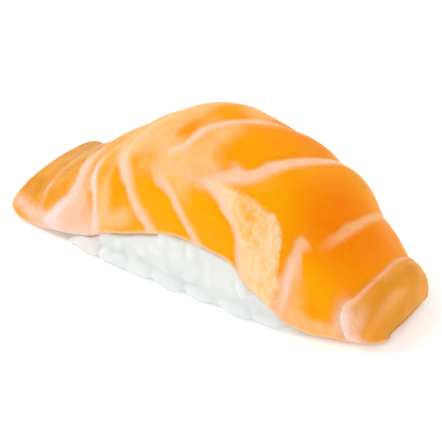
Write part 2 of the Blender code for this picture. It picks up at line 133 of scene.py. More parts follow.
# ================================================================ curves and noise
def through(points, steps):
    """Catmull-Rom curve through the points."""
    p = np.array(points, float)
    p = np.vstack([2 * p[0] - p[1], p, 2 * p[-1] - p[-2]])
    out = []
    for a, b, c, d in zip(p, p[1:], p[2:], p[3:]):
        for k in range(steps):
            t = k / steps
            out.append(0.5 * (2 * b + (c - a) * t + (2 * a - 5 * b + 4 * c - d) * t * t + (3 * b - a - 3 * c + d) * t ** 3))
    out.append(p[-2])
    return np.array(out)


def graded(x, table):
    """Smooth value at x from a table of (x, value), with no overshoot between its rows."""
    at = np.array([row[0] for row in table], float)
    val = np.array([row[1] for row in table], float)
    h = np.diff(at)
    slope = np.diff(val) / h
    m = np.concatenate([slope[:1], np.zeros(len(slope) - 1), slope[-1:]])
    for i in range(1, len(slope)):
        if slope[i - 1] * slope[i] > 0:
            wa, wb = 2 * h[i] + h[i - 1], h[i] + 2 * h[i - 1]
            m[i] = (wa + wb) / (wa / slope[i - 1] + wb / slope[i])
    x = np.clip(np.asarray(x, float), at[0], at[-1])
    i = np.clip(np.searchsorted(at, x, side="right") - 1, 0, len(h) - 1)
    t = (x - at[i]) / h[i]
    return (val[i] * (2 * t ** 3 - 3 * t ** 2 + 1) + h[i] * m[i] * (t ** 3 - 2 * t ** 2 + t)
            + val[i + 1] * (3 * t ** 2 - 2 * t ** 3) + h[i] * m[i + 1] * (t ** 3 - t ** 2))


def smooth(a, b, x):
    t = np.clip((np.asarray(x, float) - a) / (b - a), 0, 1)
    return t * t * (3 - 2 * t)


def value_noise(x, y, seed):
    """Smooth noise from -1 to 1 on a unit lattice."""
    xi, yi = np.floor(x).astype(np.int64), np.floor(y).astype(np.int64)
    fx, fy = x - xi, y - yi
    fx, fy = fx * fx * fx * (fx * (fx * 6 - 15) + 10), fy * fy * fy * (fy * (fy * 6 - 15) + 10)

    def corner(i, j):
        h = (i * 374761393 + j * 668265263 + seed * 974711) & 0xFFFFFFFF
        h = ((h ^ (h >> 13)) * 1274126177) & 0xFFFFFFFF
        return ((h ^ (h >> 16)) & 0xFFFF) / 32767.5 - 1

    a = corner(xi, yi) * (1 - fx) + corner(xi + 1, yi) * fx
    b = corner(xi, yi + 1) * (1 - fx) + corner(xi + 1, yi + 1) * fx
    return a * (1 - fy) + b * fy


def cloud(x, y, seed, octaves=3):
    out, amp, total = 0.0, 1.0, 0.0
    for k in range(octaves):
        out = out + amp * value_noise(x * 2 ** k + 17.3 * k, y * 2 ** k - 9.1 * k, seed + k)
        total += amp
        amp *= 0.5
    return out / total


class CentreLine:
    """The slice's centre line by its own length."""

    def __init__(self):
        c = through(CENTRE_LINE, 40)
        self.at = np.concatenate([[0], np.cumsum(np.hypot(*np.diff(c, axis=0).T))])
        self.c = c
        self.length = self.at[-1]
        self.angle = np.unwrap(np.arctan2(*np.gradient(c, axis=0).T[::-1]))

    def __call__(self, s):
        return np.interp(s, self.at, self.c[:, 0]), np.interp(s, self.at, self.c[:, 1]), np.interp(s, self.at, self.angle)


def quarter(power, count):
    a = np.linspace(0, math.pi / 2, count)
    return np.sin(a) ** (2 / power), 1 - np.cos(a) ** (2 / power)


def half_section(half, drop, power, marks):
    f, g = quarter(power, 240)
    y, d = half * f, drop * g
    run = np.concatenate([[0], np.cumsum(np.hypot(np.diff(y), np.diff(d)))])
    q = np.asarray(marks) * run[-1]
    return np.interp(q, run, y), np.interp(q, run, d), run[-1]


# ================================================================ fields on the flat slice
def line_fields(s, w):
    """For every stroke of fat: signed distance (mm, positive on its soft side), the strength of
    its soft side there, and how whitish it is."""
    shape = np.shape(s)
    s, w = np.ravel(s), np.ravel(w)
    out = {}
    for name, (pale, hold, nodes) in FAT.items():
        c = through([n[:2] for n in nodes], 14)
        size = np.interp(np.arange(len(c)) / 14, np.arange(len(nodes)), [n[2] for n in nodes])
        force = np.interp(np.arange(len(c)) / 14, np.arange(len(nodes)), [n[3] for n in nodes])
        t = np.gradient(c, axis=0)
        near, which = np.full(s.shape, 1e9), np.zeros(s.shape, int)
        for k in range(len(c)):
            d = (s - c[k, 0]) ** 2 + (w - c[k, 1]) ** 2
            better = d < near
            near[better] = d[better]
            which[better] = k
        side = np.where((s - c[which, 0]) * t[which, 1] - (w - c[which, 1]) * t[which, 0] >= 0, 1.0, -1.0)
        dist = side * np.sqrt(near)
        fall = np.clip(1 - np.clip(dist, 0, None) / size[which], 0, 1)
        out[name] = (dist.reshape(shape), (force[which] * smooth(0.0, 1 - hold, fall)).reshape(shape), pale)
    return out


def blob(s, w, cs, cw, rs, rw, turn=0.0):
    """A soft round patch, 1 at its middle."""
    c, k = math.cos(math.radians(turn)), math.sin(math.radians(turn))
    a = ((s - cs) * c + (w - cw) * k) / rs
    b = (-(s - cs) * k + (w - cw) * c) / rw
    return np.exp(-(a * a + b * b))


def patch_field(s, w):
    """Signed distance-like field of the matte wrinkled patch on the near side, mm, positive inside."""
    top = graded(s, [(50, -13.0), (52, -12.6), (55, -12.2), (60, -11.9), (64.6, -11.2), (66.9, -11.0), (68.5, -11.5), (69.6, -13.1), (70.4, -15.4), (70.8, -18.5), (75, -20)])
    left = graded(w, [(-30, 66), (-24.5, 62.4), (-22.7, 61.9), (-20.4, 61.5), (-18.1, 60), (-16.6, 57.4), (-15.5, 56.2), (-14.6, 54.2), (-13.9, 52.0)])
    right = graded(w, [(-30, 71.0), (-25, 71.2), (-21, 71.6), (-18.5, 70.8), (-15.4, 70.4), (-13.1, 69.6), (-11.5, 68.6), (-10, 66.5)])
    return np.minimum(np.minimum(top - w, (s - left) * 0.75), right - s)


# ================================================================ the slice's relief
def relief(s, w):
    """Height of the outer face over its smooth form."""
    lines = [graded(w, FOLDS[n]) for n in ORDER]
    lines = [lines[0] * 0 - 6.0] + lines + [lines[-1] * 0 + 104.0]
    out = np.zeros(np.shape(s))
    for a, b in zip(lines, lines[1:]):
        u = np.clip((s - a) / (b - a), 0, 1)
        inside = (s >= a) & (s < b)
        swell = BULGE * np.sin(math.pi * u ** 0.9) ** 1.1 * np.clip((b - a) / 9.0, 0.35, 1.2)
        out = np.where(inside, swell, out)
    flatter = smooth(2, 9, w) * smooth(74, 80, s) * smooth(91, 87.5, s)
    return out - 0.5 * BULGE - flatter * (0.85 * out + 0.35)


def fine_relief(s, w, patch, fields):
    g = s - graded(w, FOLDS["g"])
    out = FLAP_STEP * smooth(-0.25, 0.8, g) * (0.5 + 0.5 * smooth(2, -8, w)) + 0.14 * cloud(s / 6.0, w / 6.0, 5)
    # every stroke of fat lies in a shallow groove, steeper on its crisp side
    for name in FAT:
        if name != "g":
            d, t, _ = fields[name]
            out = out - GROOVE * t * np.where(d < 0, np.exp(-(d / 0.45) ** 2), np.exp(-(d / 1.3) ** 2))
    # torn, wrinkled face of the matte patch, its wrinkles running up to the right
    inside = smooth(-0.3, 1.0, patch)
    u, v = 0.80 * w - 0.60 * s, 0.60 * w + 0.80 * s
    wrinkle = cloud(u / 0.85 + 0.8 * cloud(s / 4, w / 4, 9), v / 3.4, 21, 2) + 0.5 * cloud(u / 0.45, v / 1.2, 33, 2)
    out = out + inside * (0.15 * wrinkle * smooth(-21, -17, w) + 0.10)
    # the tail's and the flap's skin puckers a little
    pucker = smooth(17, 8, s) + smooth(87.5, 90, s) + 0.5 * smooth(-6, -12, w) * smooth(30, 20, s)
    out = out + 0.07 * pucker * cloud(s / 0.9, w / 1.8, 45, 2)
    return out


def slice_mesh():
    """The whole closed slice: (points, faces, per-point flat coordinates, rim distance)."""
    stations, outer, inner, rim = 330, 76, 18, 7
    line = CentreLine()
    ends = END_ROUND * (1 - np.cos(np.linspace(0, math.pi / 2, 12)))
    s = np.concatenate([ends[:-1], np.linspace(END_ROUND, line.length - END_ROUND, stations), line.length - ends[-2::-1]])
    x, z, slope = line(s)
    marks = np.linspace(0, 1, outer)
    imarks = np.linspace(0, 1, inner)
    n = len(s)
    sections = []
    for i in range(n):
        left = min(s[i], line.length - s[i])
        full = math.sqrt(max(1 - (1 - min(left / END_ROUND, 1)) ** 2, 0.0025))
        power = float(graded(x[i], SQUARENESS))
        middle = float(graded(x[i], THICKNESS))
        sides = {}
        for name, half, edge in (("near", NEAR_HALF, NEAR_EDGE), ("far", FAR_HALF, FAR_EDGE)):
            b = float(graded(x[i], half)) - 0.8 * (1 - full)
            raised = float(graded(x[i], EDGE_LIFT)) if name == "near" else 0.0
            drop = max(z[i] - float(graded(x[i], edge)) + 0.42 - raised, 0.4)
            y, d, run = half_section(b, drop, power, marks)
            thick = middle * full
            side = min(1.7, 0.9 * thick)
            yi, _, _ = half_section(b - side, drop, power, imarks)
            f, g = quarter(power, 240)
            share = np.interp(yi, (b - side) * f, g)
            if drop < 2 * middle:
                share = share ** (1 + 1.5 * (1 - drop / (2 * middle)))
            inset = middle / 2 * (1 - full)
            di = inset + thick + (drop - inset - thick) * share
            sides[name] = (y, inset + (drop - inset) * d / drop, run, yi, di, b, drop, side)
        sections.append((full, sides))
    # flat coordinates of the outer face, then its relief in one go
    across = 2 * outer - 1
    W = np.zeros((n, across))
    for i, (full, sides) in enumerate(sections):
        W[i, :outer] = -sides["near"][2] * marks[::-1]
        W[i, outer:] = sides["far"][2] * marks[1:]
    S = np.repeat(s[:, None], across, axis=1)
    fields = line_fields(S, W)
    patch = patch_field(S, W)
    lift_all = relief(S, W) + fine_relief(S, W, patch, fields)
    edge_share = np.abs(np.concatenate([-marks[::-1], marks[1:]]))
    lift_all = lift_all * (1 - 0.8 * edge_share[None, :] ** 6)
    lift_all = lift_all * np.array([f for f, _ in sections])[:, None]
    rings, flats, rims = [], [], []
    for i, (full, sides) in enumerate(sections):
        lean = LEAN * slope[i]
        down = np.array([math.sin(lean), -math.cos(lean)])
        pts = []
        for name, sign in (("near", -1), ("far", 1)):
            y, d, run, *_ = sides[name]
            ny, nd = -np.gradient(d), np.gradient(y)
            long = np.hypot(ny, nd) + 1e-9
            lift = lift_all[i, :outer][::-1] if sign < 0 else lift_all[i, outer - 1:]
            y2, d2 = y - lift * ny / long, d - lift * nd / long
            row = np.stack([sign * y2, d2], -1)
            pts.append(row[::-1] if sign < 0 else row[1:])
        flat = [np.stack([np.full(across, s[i]), W[i]], -1)]
        rimd = [np.minimum(sides["near"][2] + W[i], sides["far"][2] - W[i])]
        for name, sign in (("far", 1), ("near", -1)):
            _, _, run, yi, di, b, drop, side = sides[name]
            r = side / 2
            angles = np.linspace(0, math.pi, rim + 2)[1:-1]
            turn = np.stack([sign * (b - r + r * np.cos(angles)), drop + r * np.sin(angles)], -1)
            tw = sign * (run + r * angles)
            inside = np.stack([sign * yi, di], -1)
            iw = sign * (run + r * math.pi + (imarks[::-1]) * run)
            if name == "far":
                pts += [turn, inside[::-1]]
                flat += [np.stack([np.full(rim, s[i]), tw], -1), np.stack([np.full(inner, s[i]), iw], -1)]
                rimd += [-r * angles, np.full(inner, -6.0)]
            else:
                pts += [inside[1:], turn[::-1]]
                flat += [np.stack([np.full(inner - 1, s[i]), iw[1:]], -1), np.stack([np.full(rim, s[i]), tw[::-1]], -1)]
                rimd += [np.full(inner - 1, -6.0), (-r * angles)[::-1]]
        p = np.concatenate(pts)
        bow = END_BOW * (smooth(line.length - 9, line.length, s[i]) - TAIL_BOW * smooth(8, 0, s[i]))
        rings.append(np.stack([x[i] + p[:, 1] * down[0] + bow * (1 - ((p[:, 0] + 1.5) / 11.5) ** 2), p[:, 0], z[i] + p[:, 1] * down[1]], -1))
        flats.append(np.concatenate(flat))
        rims.append(np.concatenate(rimd))
    rings = np.array(rings)
    rings[..., 2] = np.maximum(rings[..., 2], 0.15)
    rings[..., 0] -= CENTRE_X
    rings[..., 1] -= CENTRE_Y
    m = rings.shape[1]
    j = np.arange(m)
    faces = []
    for i in range(n - 1):
        faces.append(np.stack([i * m + j, (i + 1) * m + j, (i + 1) * m + (j + 1) % m, i * m + (j + 1) % m], -1))
    faces = [tuple(f) for f in np.concatenate(faces)]
    # close each end between its outer and its inner face
    back = m - across - 2 * rim
    top = list(range(across))
    low = list(range(across + rim, across + rim + back))[::-1]
    caps, a, b = [], 0, 0
    while a < len(top) - 1 or b < len(low) - 1:
        if b == len(low) - 1 or (a < len(top) - 1 and (a + 1) / (len(top) - 1) <= (b + 1) / (len(low) - 1)):
            caps.append([top[a], top[a + 1], low[b]])
            a += 1
        else:
            caps.append([top[a], low[b + 1], low[b]])
            b += 1
    caps.append([low[0]] + list(range(m - rim, m)) + [top[0]])
    caps.append([top[-1]] + list(range(across, across + rim)) + [low[-1]])
    base = (n - 1) * m
    for c in caps:
        faces.append(tuple(c[::-1]))
        faces.append(tuple(base + q for q in c))
    return rings.reshape(-1, 3), faces, np.concatenate(flats), np.concatenate(rims)


def make_object(name, points, faces, smooth_shade=True):
    lo, hi = np.array(CAD_LO) / MM + 0.01, np.array(CAD_HI) / MM - 0.01
    points = np.clip(points, lo, hi)
    mesh = bpy.data.meshes.new(name)
    mesh.from_pydata([tuple(p) for p in points * MM], [], faces)
    mesh.validate()
    mesh.update()
    if smooth_shade:
        mesh.shade_smooth()
    obj = bpy.data.objects.new(name, mesh)
    bpy.context.scene.collection.objects.link(obj)
    return obj


def put(mesh, name, values):
    values = np.asarray(values, float)
    if values.ndim == 1:
        a = mesh.attributes.new(name, "FLOAT", "POINT")
        a.data.foreach_set("value", values.astype(np.float32))
    else:
        a = mesh.attributes.new(name, "FLOAT_VECTOR", "POINT")
        a.data.foreach_set("vector", values.astype(np.float32).ravel())


# ================================================================ node helpers
class Nodes:
    def __init__(self, name):
        self.mat = bpy.data.materials.new(name)
        self.mat.use_nodes = True
        self.tree = self.mat.node_tree
        self.bsdf = self.tree.nodes["Principled BSDF"]
        self.column = 0

    def new(self, kind, **settings):
        node = self.tree.nodes.new(kind)
        for k, v in settings.items():
            setattr(node, k, v)
        node.location = (-2400 + 30 * self.column, 300 - 40 * (self.column % 12))
        self.column += 1
        return node

    def link(self, source, target):
        if isinstance(source, (int, float)):
            target.default_value = source
        elif isinstance(source, tuple):
            target.default_value = source if len(source) == len(target.default_value) else (*source, 1.0)
        else:
            self.tree.links.new(source, target)

    def math(self, op, a, b=0.0, c=None, clamp=False):
        node = self.new("ShaderNodeMath", operation=op, use_clamp=clamp)
        self.link(a, node.inputs[0])
        self.link(b, node.inputs[1])
        if c is not None:
            self.link(c, node.inputs[2])
        return node.outputs[0]

    def attribute(self, name, vector=False):
        node = self.new("ShaderNodeAttribute", attribute_type="GEOMETRY", attribute_name=name)
        return node.outputs["Vector"] if vector else node.outputs["Fac"]

    def split(self, vector):
        return self.new_split(vector)

    def new_split(self, vector):
        node = self.new("ShaderNodeSeparateXYZ")
        self.link(vector, node.inputs[0])
        return node.outputs[0], node.outputs[1], node.outputs[2]

    def scaled(self, vector, scale, offset=(0, 0, 0), turn=0.0):
        node = self.new("ShaderNodeMapping")
        self.link(vector, node.inputs["Vector"])
        node.inputs["Scale"].default_value = scale
        node.inputs["Location"].default_value = offset
        node.inputs["Rotation"].default_value = (0, 0, turn)
        return node.outputs[0]

    def noise(self, vector, scale, detail=3.0, rough=0.5, distort=0.0):
        node = self.new("ShaderNodeTexNoise")
        self.link(vector, node.inputs["Vector"])
        node.inputs["Scale"].default_value = scale
        node.inputs["Detail"].default_value = detail
        node.inputs["Roughness"].default_value = rough
        node.inputs["Distortion"].default_value = distort
        return node.outputs["Fac"]

    def ramp(self, value, low, high, to=(0.0, 1.0), smoothstep=True):
        node = self.new("ShaderNodeMapRange", interpolation_type="SMOOTHSTEP" if smoothstep else "LINEAR", clamp=True)
        self.link(value, node.inputs["Value"])
        node.inputs["From Min"].default_value = low
        node.inputs["From Max"].default_value = high
        node.inputs["To Min"].default_value = to[0]
        node.inputs["To Max"].default_value = to[1]
        return node.outputs["Result"]

    def mix(self, factor, a, b, mode="MIX"):
        node = self.new("ShaderNodeMix", data_type="RGBA", blend_type=mode)
        self.link(factor, node.inputs["Factor"])
        self.link(a, node.inputs[6])
        self.link(b, node.inputs[7])
        return node.outputs[2]


def srgb(r, g, b):
    def one(v):
        v /= 255
        return v / 12.92 if v <= 0.04045 else ((v + 0.055) / 1.055) ** 2.4
    return (one(r), one(g), one(b))


# ================================================================ salmon
points, faces, flat, rimd = slice_mesh()
salmon = make_object("salmon_slice", points, faces)
S, W = flat[:, 0], flat[:, 1]
Wc = np.clip(W, -32, 25)
fields = line_fields(S, Wc)
patch = patch_field(S, Wc)
me = salmon.data
put(me, "flat", np.stack([S, W, np.zeros(len(S))], -1))
for name in FAT:
    d, t, _ = fields[name]
    put(me, "fat_" + name, np.stack([np.clip(d, -3, 6), t, np.zeros(len(S))], -1))
put(me, "patch", np.clip(patch, -4, 4))
put(me, "rim", rimd)
put(me, "warm", np.clip(1.15 * blob(S, W, 63.4, -15.2, 2.5, 3.0, -25) + 0.5 * blob(S, W, 61, -12.9, 2.0, 1.0), 0, 1))
# pale peach over the flesh, strongest along the near shoulder: partly paler flesh, partly a painted sheen where the
# soft key light glances off the top and the near shoulder
pale_flesh_and_sheen = (0.78 * smooth(24, 31, S) * smooth(47.5, 43, S) * smooth(-11.5, -8, W) * smooth(17, 5, W) + 0.35 * smooth(44, 48, S) * smooth(57, 50, S) * smooth(1, 5, W)
        + 0.9 * blob(S, W, 44, -12, 5.0, 3.2, -20) + 0.55 * blob(S, W, 48, -16.2, 3.4, 2.0, -40) + 1.0 * blob(S, W, 51.5, -11.6, 5.5, 2.7, -8)
        + 0.8 * blob(S, W, 50.6, -5, 2.6, 5.5, -18) + 0.6 * blob(S, W, 57.5, -13.2, 4.5, 1.4)
        + 0.35 * blob(S, W, 37, -12.4, 3.0, 2.2, -35) + 0.75 * blob(S, W, 26.6, -17.0, 2.6, 4.6) + 0.75 * blob(S, W, 30, -21, 5.0, 2.0, -12)
        + 0.55 * blob(S, W, 24.5, -4, 4.5, 4.5) + 0.4 * blob(S, W, 52, 5, 5, 3, -20)
        + 0.45 * blob(S, W, 22, -10, 1.8, 3.5) + 0.35 * blob(S, W, 27.5, -13, 2.0, 4) + 0.35 * blob(S, W, 33.5, -20.5, 2.5, 3, -30) + 0.45 * blob(S, W, 46.3, -3, 1.5, 5, -15) + 0.6 * blob(S, W, 22, 3, 2.5, 3) + 0.95 * smooth(4.6, 1.6, rimd) * smooth(73, 77, S) * smooth(89, 86, S) * smooth(-8, -12, W) + 0.55 * blob(S, W, 76.6, -19.5, 2.4, 4.5)
        + 0.9 * blob(S, W, 92.8, -2.5, 1.3, 6) + 0.5 * blob(S, W, 5, -14.5, 6, 2, -25) + 0.3 * blob(S, W, 62.5, -8, 3.0, 2.0, 30)
        - 0.75 * blob(S, W, 43.6, -5.2, 1.8, 3.0, -20) - 0.4 * blob(S, W, 29.8, -12.6, 1.6, 2.4, -40) - 0.3 * blob(S, W, 46.5, 3, 2.5, 4, -30))
put(me, "pale_flesh_and_sheen", np.clip(pale_flesh_and_sheen, 0, 1.2))
# yellow-orange on the near side, redder and darker orange towards the blunt end's top: partly the flesh's own tone,
# partly painted shade, with the near side lit and the blunt end in less light
deep_tone_and_shade = 0.28 + 0.72 * blob(S, W, 75.5, -3, 6.5, 8) + 0.4 * blob(S, W, 60, 7, 10, 6) + 0.5 * blob(S, W, 84, 2, 5, 9) - 0.32 * blob(S, W, 50, -20, 16, 8) - 0.3 * blob(S, W, 64, -9, 5, 3.4) - 0.3 * blob(S, W, 80, -13, 5, 4) + 0.3 * blob(S, W, 43.6, -5.2, 3, 4)
put(me, "deep_tone_and_shade", np.clip(deep_tone_and_shade, 0, 1))
# darker tan along the tail's far edge and on the flap: partly their own browner tint, partly painted shade where these
# faces turn away from the light
tan_and_shade = 0.85 * smooth(16.5, 13.5, S - 0.25 * (W + 4)) * smooth(-15.5, -10, W) + 0.7 * smooth(87.2, 88.6, S) + 0.35 * smooth(26, 18, S) * smooth(-4, 0, W)
put(me, "tan_and_shade", np.clip(tan_and_shade, 0, 1))
# duller mustard on the tail's far side and tip, along the far side and at the flap's end: partly duller flesh, partly
# painted shade on faces turned away from the light
dull_and_shade = 0.3 * blob(S, W, 11, 0, 5, 4) + 0.4 * blob(S, W, 16.5, -0.5, 3, 4) + 0.75 * smooth(-3, 5, W) * smooth(15, 9, S) + 0.55 * blob(S, W, 5.4, -9.4, 2.0, 3.0) + 0.8 * blob(S, W, 95.4, -3, 1.7, 9) + 0.55 * blob(S, W, 90.6, 4.5, 1.0, 5.5) + 0.45 * blob(S, W, 91.6, -5, 1.2, 2.5) + 0.5 * smooth(10, 14, W) * smooth(28, 14, S)
put(me, "dull_and_shade", np.clip(dull_and_shade, 0, 1))
pink = (0.9 * blob(S, W, 18.4, -17, 3.8, 5.0, 10) + 0.75 * blob(S, W, 17.2, -9.0, 2.6, 5.0, 8) + 0.35 * blob(S, W, 18.5, -4, 3, 3)
        + 0.85 * blob(S, W, 23.8, -20.0, 2.0, 3.2) + 0.7 * blob(S, W, 6.5, -14.6, 5.5, 1.5, -20) + 0.6 * blob(S, W, 8.6, -10.5, 0.9, 3.4, 8) + 0.3 * blob(S, W, 36, -6.5, 5, 1.6, -10)
        + 0.7 * blob(S, W, 88.2, -10.5, 2.0, 2.8) + 0.1 * blob(S, W, 90.5, -4, 1.6, 5) + 0.25 * blob(S, W, 57, -15, 3, 1.5, -20) + 0.45 * blob(S, W, 49.5, -13.6, 4.5, 1.5, -10)
        + 0.5 * smooth(3.0, 0.8, rimd) * smooth(4, 8, S) * smooth(24, 20, S) * smooth(0, -6, W) + 0.55 * blob(S, W, 56.6, -8.6, 1.8, 1.2))
put(me, "pink", np.clip(pink, 0, 1))
white = (1.0 * blob(S, W, 13.4, -15.4, 3.6, 1.5, 32) + 0.85 * blob(S, W, 12.6, -17.6, 2.6, 1.4, -30) + 0.5 * blob(S, W, 18.5, -20.8, 5, 1.2, -12) + 0.55 * blob(S, W, 21.2, -9.5, 1.0, 3.2)
         + 0.5 * blob(S, W, 3.2, -12.6, 2.2, 1.0, -25) + 1.0 * blob(S, W, 87.6, -12.0, 2.0, 2.4) + 0.75 * blob(S, W, 91.0, -12.8, 1.3, 2.6, -45) + 0.35 * blob(S, W, 90.6, -9.5, 1.2, 2.6) + 0.6 * blob(S, W, 73.2, -19.5, 0.9, 5.0))
put(me, "white", np.clip(white, 0, 1))

N = Nodes("salmon_flesh")
F = N.attribute("flat", vector=True)
n_mid = N.noise(F, 0.55, 3, 0.55)
n_fine = N.noise(F, 2.2, 3, 0.6)
n_big = N.noise(F, 0.16, 3, 0.5)
fibre = N.noise(N.scaled(F, (0.45, 2.6, 1), turn=0.15), 1.0, 4, 0.55, 0.6)
n_wave = N.noise(F, 0.28, 3, 0.5)
wob = N.math("ADD", N.math("MULTIPLY", N.math("SUBTRACT", n_wave, 0.5), 1.15), N.math("MULTIPLY", N.math("SUBTRACT", n_fine, 0.5), 0.34))
# deep orange mixed in: the flesh's tone with painted shade towards the blunt end
deep_tone_and_shade_f = N.math("ADD", N.attribute("deep_tone_and_shade"), N.math("MULTIPLY", N.math("SUBTRACT", n_big, 0.5), 0.3), clamp=True)
col = N.mix(deep_tone_and_shade_f, srgb(254, 168, 0), srgb(252, 126, 0))
col = N.mix(N.ramp(fibre, 0.35, 0.7, (0.0, 0.14)), col, srgb(255, 184, 30))
# the pale peach mixed over it: paler flesh together with a painted sheen
pale_flesh_and_sheen_f = N.ramp(N.math("ADD", N.attribute("pale_flesh_and_sheen"), N.math("MULTIPLY", N.math("SUBTRACT", n_mid, 0.5), 0.38)), 0.06, 0.95)
pale_flesh_and_sheen_col = N.mix(N.ramp(N.noise(F, 0.42, 3, 0.6), 0.36, 0.64), srgb(254, 188, 112), srgb(253, 193, 134))
col = N.mix(N.math("MULTIPLY", pale_flesh_and_sheen_f, 0.92), col, pale_flesh_and_sheen_col)
# tan tint with painted shade on the tail's far edge and the flap
tan_and_shade_col = N.mix(N.ramp(N.noise(N.scaled(F, (0.3, 0.2, 1)), 1.0, 3, 0.6), 0.34, 0.66), srgb(224, 146, 44), srgb(236, 164, 76))
col = N.mix(N.math("MULTIPLY", N.attribute("tan_and_shade"), N.ramp(N.attribute("pale_flesh_and_sheen"), 0.1, 0.9, (1.0, 0.45), False)), col, tan_and_shade_col)
# duller mustard with painted shade on the faces turned away from the light
col = N.mix(N.math("MULTIPLY", N.attribute("dull_and_shade"), 0.8), col, srgb(212, 142, 36))
pink_f = N.ramp(N.math("ADD", N.attribute("pink"), N.math("MULTIPLY", N.math("SUBTRACT", n_mid, 0.5), 0.5)), 0.1, 0.85)
col = N.mix(N.math("MULTIPLY", pink_f, 0.9), col, srgb(247, 199, 172))
# the wrinkled patch, its pale peach partly paler fatty flesh and partly a painted reflection of the key light on that
# shoulder, then the strokes of fat over it
q = N.ramp(N.math("ADD", N.attribute("patch"), N.math("MULTIPLY", N.math("SUBTRACT", n_mid, 0.5), 2.6)), -0.4, 0.8)
patch_n = N.noise(N.scaled(F, (0.7, 0.4, 1), turn=-0.75), 1.0, 4, 0.6)
pale_patch_and_reflection_col = N.mix(N.ramp(patch_n, 0.36, 0.64), srgb(254, 204, 140), srgb(255, 219, 176))
pale_patch_and_reflection_col = N.mix(N.math("MULTIPLY", N.attribute("warm"), N.ramp(n_mid, 0.3, 0.62)), pale_patch_and_reflection_col, srgb(251, 182, 70))
col = N.mix(N.math("MULTIPLY", q, 0.95), col, pale_patch_and_reflection_col)
faint = N.ramp(N.noise(F, 0.3, 2, 0.5), 0.3, 0.7, (0.8, 1.08), False)
for name in FAT:
    d, t, _ = N.new_split(N.attribute("fat_" + name, vector=True))
    pale = FAT[name][0]
    edge = N.ramp(N.math("ADD", d, wob), -0.45, 0.45)
    f = N.math("MULTIPLY", N.math("MULTIPLY", edge, t), faint, clamp=True)
    tint = tuple(a * (1 - pale) + b * pale for a, b in zip(srgb(252, 179, 112), srgb(252, 214, 194)))
    col = N.mix(f, col, tint)
# painted glints: tiny near-white specks in the colour that stand in for wet highlights where the flesh is whitish or
# pink
painted_glint = N.ramp(N.noise(N.scaled(F, (1.5, 2.6, 1), turn=0.7), 1.0, 2, 0.5), 0.62, 0.69)
glint_zone = N.math("MAXIMUM", N.attribute("white"), N.math("MULTIPLY", N.attribute("pink"), 0.4))
white_f = N.math("MULTIPLY", N.attribute("white"), N.ramp(n_mid, 0.3, 0.7, (0.7, 1.1), False), clamp=True)
col = N.mix(white_f, col, srgb(240, 222, 218))
# whitish streaks where the flesh is pale, then the painted glints
shred = N.ramp(N.noise(N.scaled(F, (1.5, 0.7, 1), turn=-0.5), 1.0, 4, 0.7), 0.6, 0.72)
pale_area = N.ramp(N.math("MAXIMUM", N.math("MAXIMUM", q, N.attribute("pink")), N.math("MULTIPLY", pale_flesh_and_sheen_f, 0.6)), 0.3, 0.9)
col = N.mix(N.math("MULTIPLY", N.math("MULTIPLY", shred, pale_area), 0.5), col, srgb(255, 228, 200))
col = N.mix(N.math("MULTIPLY", painted_glint, glint_zone, clamp=True), col, srgb(255, 250, 240))
# the thin lower rim: partly the edge's own paler, pinker flesh, partly a painted highlight along the edge
pale_rim_and_highlight_f = N.ramp(N.math("ADD", N.attribute("rim"), N.math("MULTIPLY", wob, 0.8)), 0.5, -0.5)
col = N.mix(N.math("MULTIPLY", pale_rim_and_highlight_f, 0.6), col, N.mix(pink_f, srgb(253, 208, 164), srgb(248, 216, 204)))
N.link(col, N.bsdf.inputs["Base Color"])
rough = N.math("ADD", N.math("MULTIPLY", q, 0.2), N.ramp(n_mid, 0.3, 0.7, (0.34, 0.44), False))
N.link(rough, N.bsdf.inputs["Roughness"])
N.bsdf.inputs["Subsurface Weight"].default_value = 0.35
N.bsdf.inputs["Subsurface Radius"].default_value = (1.0, 0.45, 0.2)
N.bsdf.inputs["Subsurface Scale"].default_value = 0.0010
N.bsdf.inputs["IOR"].default_value = 1.38
N.bsdf.inputs["Specular IOR Level"].default_value = 0.14
N.bsdf.inputs["Specular Tint"].default_value = (1.0, 0.66, 0.34, 1.0)
bump = N.new("ShaderNodeBump")
bump.inputs["Strength"].default_value = 0.5
bump.inputs["Distance"].default_value = 0.00012
height = N.math("ADD", N.math("MULTIPLY", fibre, 0.5), N.math("ADD", N.math("MULTIPLY", n_fine, 0.35), N.math("MULTIPLY", N.noise(F, 6.0, 2, 0.5), 0.25)))
N.link(height, bump.inputs["Height"])
N.link(bump.outputs["Normal"], N.bsdf.inputs["Normal"])
me.materials.append(N.mat)
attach(salmon, "root")
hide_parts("salmon")


